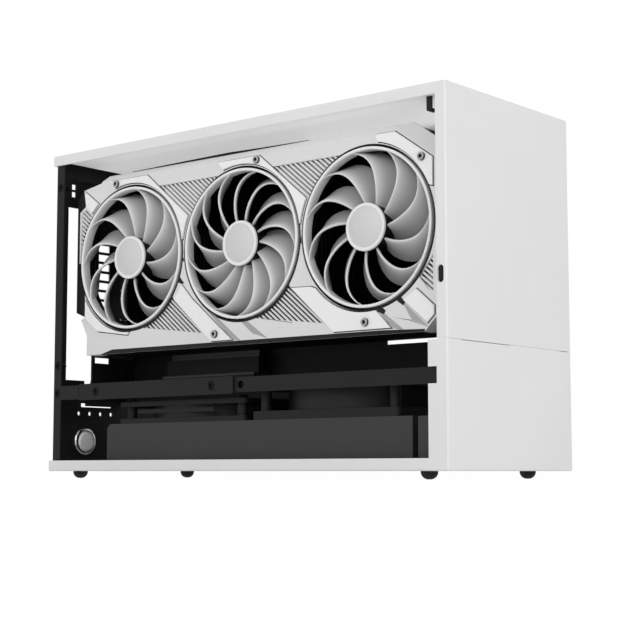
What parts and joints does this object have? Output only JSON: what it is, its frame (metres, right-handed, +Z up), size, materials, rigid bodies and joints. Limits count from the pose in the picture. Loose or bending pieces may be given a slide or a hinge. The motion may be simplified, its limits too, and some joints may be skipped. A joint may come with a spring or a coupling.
{
  "type": "mini-itx pc case",
  "caption": "Compact white computer case with a black inner frame and open sides, holding a long fan-cooled graphics card above a radiator with its fans.",
  "frame": {"origin": "on the floor under the middle of the case, level with the undersides of the feet", "axes": "+X towards the closed front, +Y towards the right side with the motherboard tray, +Z up"},
  "size_m": [0.35, 0.141, 0.236],
  "materials": {
    "white_paint": "fine matt powder coat",
    "black_paint": "fine matt powder coat",
    "black_plastic": "moulded, matt",
    "fan_black": "moulded, satin",
    "rubber_black": "matt rubber",
    "circuit_board": "black solder mask",
    "standoff_brass": "turned brass",
    "switch_metal": "turned and plated",
    "plated_metal": "plated",
    "bracket_steel": "satin plated steel",
    "black_screw": "black oxide",
    "radiator_paint": "satin black paint",
    "fin_metal": "black coated fins",
    "shroud_white": "moulded, fine matt grain",
    "trim_silver": "pale metallic paint",
    "rotor_white": "moulded, satin"
  },
  "bodies": {
    "case_body": {"board_standoffs": "standoff_brass", "card_backplate": "black_paint", "card_board": "circuit_board", "card_bracket": "bracket_steel", "card_fan_motors": "black_plastic", "card_frame": "black_plastic", "card_heatsink": "fin_metal", "card_shroud": "shroud_white", "case_feet": "rubber_black", "case_screws": "black_screw", "cross_brace": "black_paint", "display_ports": "plated_metal", "fan_screws": "black_screw", "full_fan_frame": "black_plastic", "inlet_pins": "plated_metal", "left_rail_front": "black_paint", "left_rail_rear": "black_paint", "louvre_front_end": "shroud_white", "louvre_lower_front": "shroud_white", "louvre_lower_rear": "shroud_white", "louvre_rear_end": "shroud_white", "louvre_upper_front": "shroud_white", "louvre_upper_rear": "shroud_white", "lower_shell": "white_paint", "motherboard_tray": "black_paint", "panel_catches": "black_plastic", "power_inlet": "black_plastic", "power_switch_body": "switch_metal", "power_switch_nut": "switch_metal", "psu_bracket": "black_paint", "radiator_body": "radiator_paint", "radiator_core": "fin_metal", "radiator_gasket": "rubber_black", "radiator_plugs": "black_plastic", "radiator_screws": "black_screw", "rear_frame": "black_paint", "right_rail_front": "black_paint", "right_rail_rear": "black_paint", "riser_board": "circuit_board", "riser_bracket": "black_paint", "riser_slot": "black_plastic", "shroud_screws": "black_screw", "slim_fan_frame": "black_plastic", "slot_plate": "black_paint", "top_liner": "white_paint", "trim_front_corner": "trim_silver", "trim_lower_front": "trim_silver", "trim_lower_rear": "trim_silver", "trim_rear_corner": "trim_silver", "trim_rear_upper": "trim_silver", "trim_upper_front": "trim_silver", "trim_upper_middle": "trim_silver", "trim_upper_rear": "trim_silver", "upper_shell": "white_paint"},
    "rear_card_fan": {"card_rotor_rear": "rotor_white"},
    "middle_card_fan": {"card_rotor_middle": "rotor_white"},
    "front_card_fan": {"card_rotor_front": "rotor_white"},
    "slim_radiator_fan": {"slim_fan_rotor": "fan_black"},
    "full_radiator_fan": {"full_fan_rotor": "fan_black"},
    "power_button_cap": {"power_button": "switch_metal"}
  },
  "joints": [
    {"name": "rear_card_fan_spin", "type": "hinge", "parent": "case_body", "child": "rear_card_fan", "pos_m": [-0.1035, -0.0615, 0.1555], "axis": [0, -1, 0], "continuous": true},
    {"name": "middle_card_fan_spin", "type": "hinge", "parent": "case_body", "child": "middle_card_fan", "pos_m": [0.002, -0.0615, 0.1555], "axis": [0, -1, 0], "continuous": true},
    {"name": "front_card_fan_spin", "type": "hinge", "parent": "case_body", "child": "front_card_fan", "pos_m": [0.1075, -0.0615, 0.1555], "axis": [0, -1, 0], "continuous": true},
    {"name": "slim_fan_spin", "type": "hinge", "parent": "case_body", "child": "slim_radiator_fan", "pos_m": [-0.0545, 0, 0.038], "axis": [0, 0, 1], "continuous": true},
    {"name": "full_fan_spin", "type": "hinge", "parent": "case_body", "child": "full_radiator_fan", "pos_m": [0.0715, 0, 0.038], "axis": [0, 0, 1], "continuous": true},
    {"name": "power_button_press", "type": "slide", "parent": "case_body", "child": "power_button_cap", "axis": [1, 0, 0], "range_m": [0, 0.0015], "stiffness_N_per_m": 500}
  ]
}
